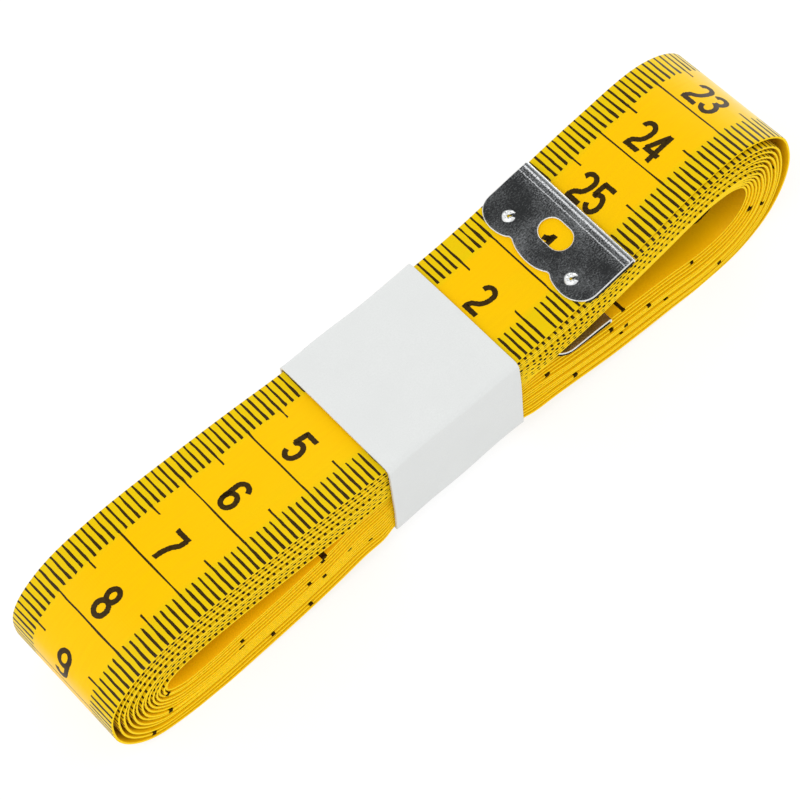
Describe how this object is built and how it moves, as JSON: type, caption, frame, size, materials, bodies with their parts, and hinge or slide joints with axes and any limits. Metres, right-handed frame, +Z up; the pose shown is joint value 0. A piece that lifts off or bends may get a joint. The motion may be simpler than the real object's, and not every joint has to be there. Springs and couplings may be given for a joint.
{
  "type": "tape measure",
  "caption": "Cloth measuring tape rolled flat in a paper sleeve, with a folded metal tip on each end and a loose, lifting outer end.",
  "frame": {"origin": "middle of the footprint, on the surface that the roll lies on", "axes": "+X along the roll towards the end with the loose metal tip on top, +Y across the tape towards its back edge, +Z up"},
  "size_m": [0.1126, 0.0204, 0.0223],
  "materials": {
    "yellow_cloth": "coated woven cloth, satin, printed with black scale marks",
    "tip_metal": "dull brushed sheet metal with bright edges",
    "white_card": "thin white card, matt"
  },
  "bodies": {
    "roll": {"tape_coil": "yellow_cloth"},
    "sleeve": {"paper_sleeve": "white_card"},
    "free_end_a": {"tape_free_end_a": "yellow_cloth"},
    "free_end_b": {"tape_free_end_b": "yellow_cloth", "outer_end_tip": "tip_metal"},
    "inner_end": {"tape_inner_end": "yellow_cloth", "inner_end_tip": "tip_metal"}
  },
  "joints": [
    {"name": "sleeve_slide", "type": "slide", "parent": "roll", "child": "sleeve", "axis": [-1, 0, 0], "range_m": [0, 0.067], "deforming": ["tape_coil"]},
    {"name": "outer_end_lift", "type": "hinge", "parent": "roll", "child": "free_end_a", "pos_m": [0.0102, 0, 0.01825], "axis": [0, -1, 0], "range_deg": [0, 35]},
    {"name": "outer_end_curl", "type": "hinge", "parent": "free_end_a", "child": "free_end_b", "pos_m": [0.01871, 0, 0.01897], "axis": [0, -1, 0], "range_deg": [0, 35]},
    {"name": "inner_end_lift", "type": "hinge", "parent": "roll", "child": "inner_end", "pos_m": [0.01023, 0, 0.0116], "axis": [0, -1, 0], "range_deg": [0, 6]}
  ],
  "couplings": [
    {"joint": "outer_end_curl", "follows": "outer_end_lift", "ratio": 1}
  ]
}
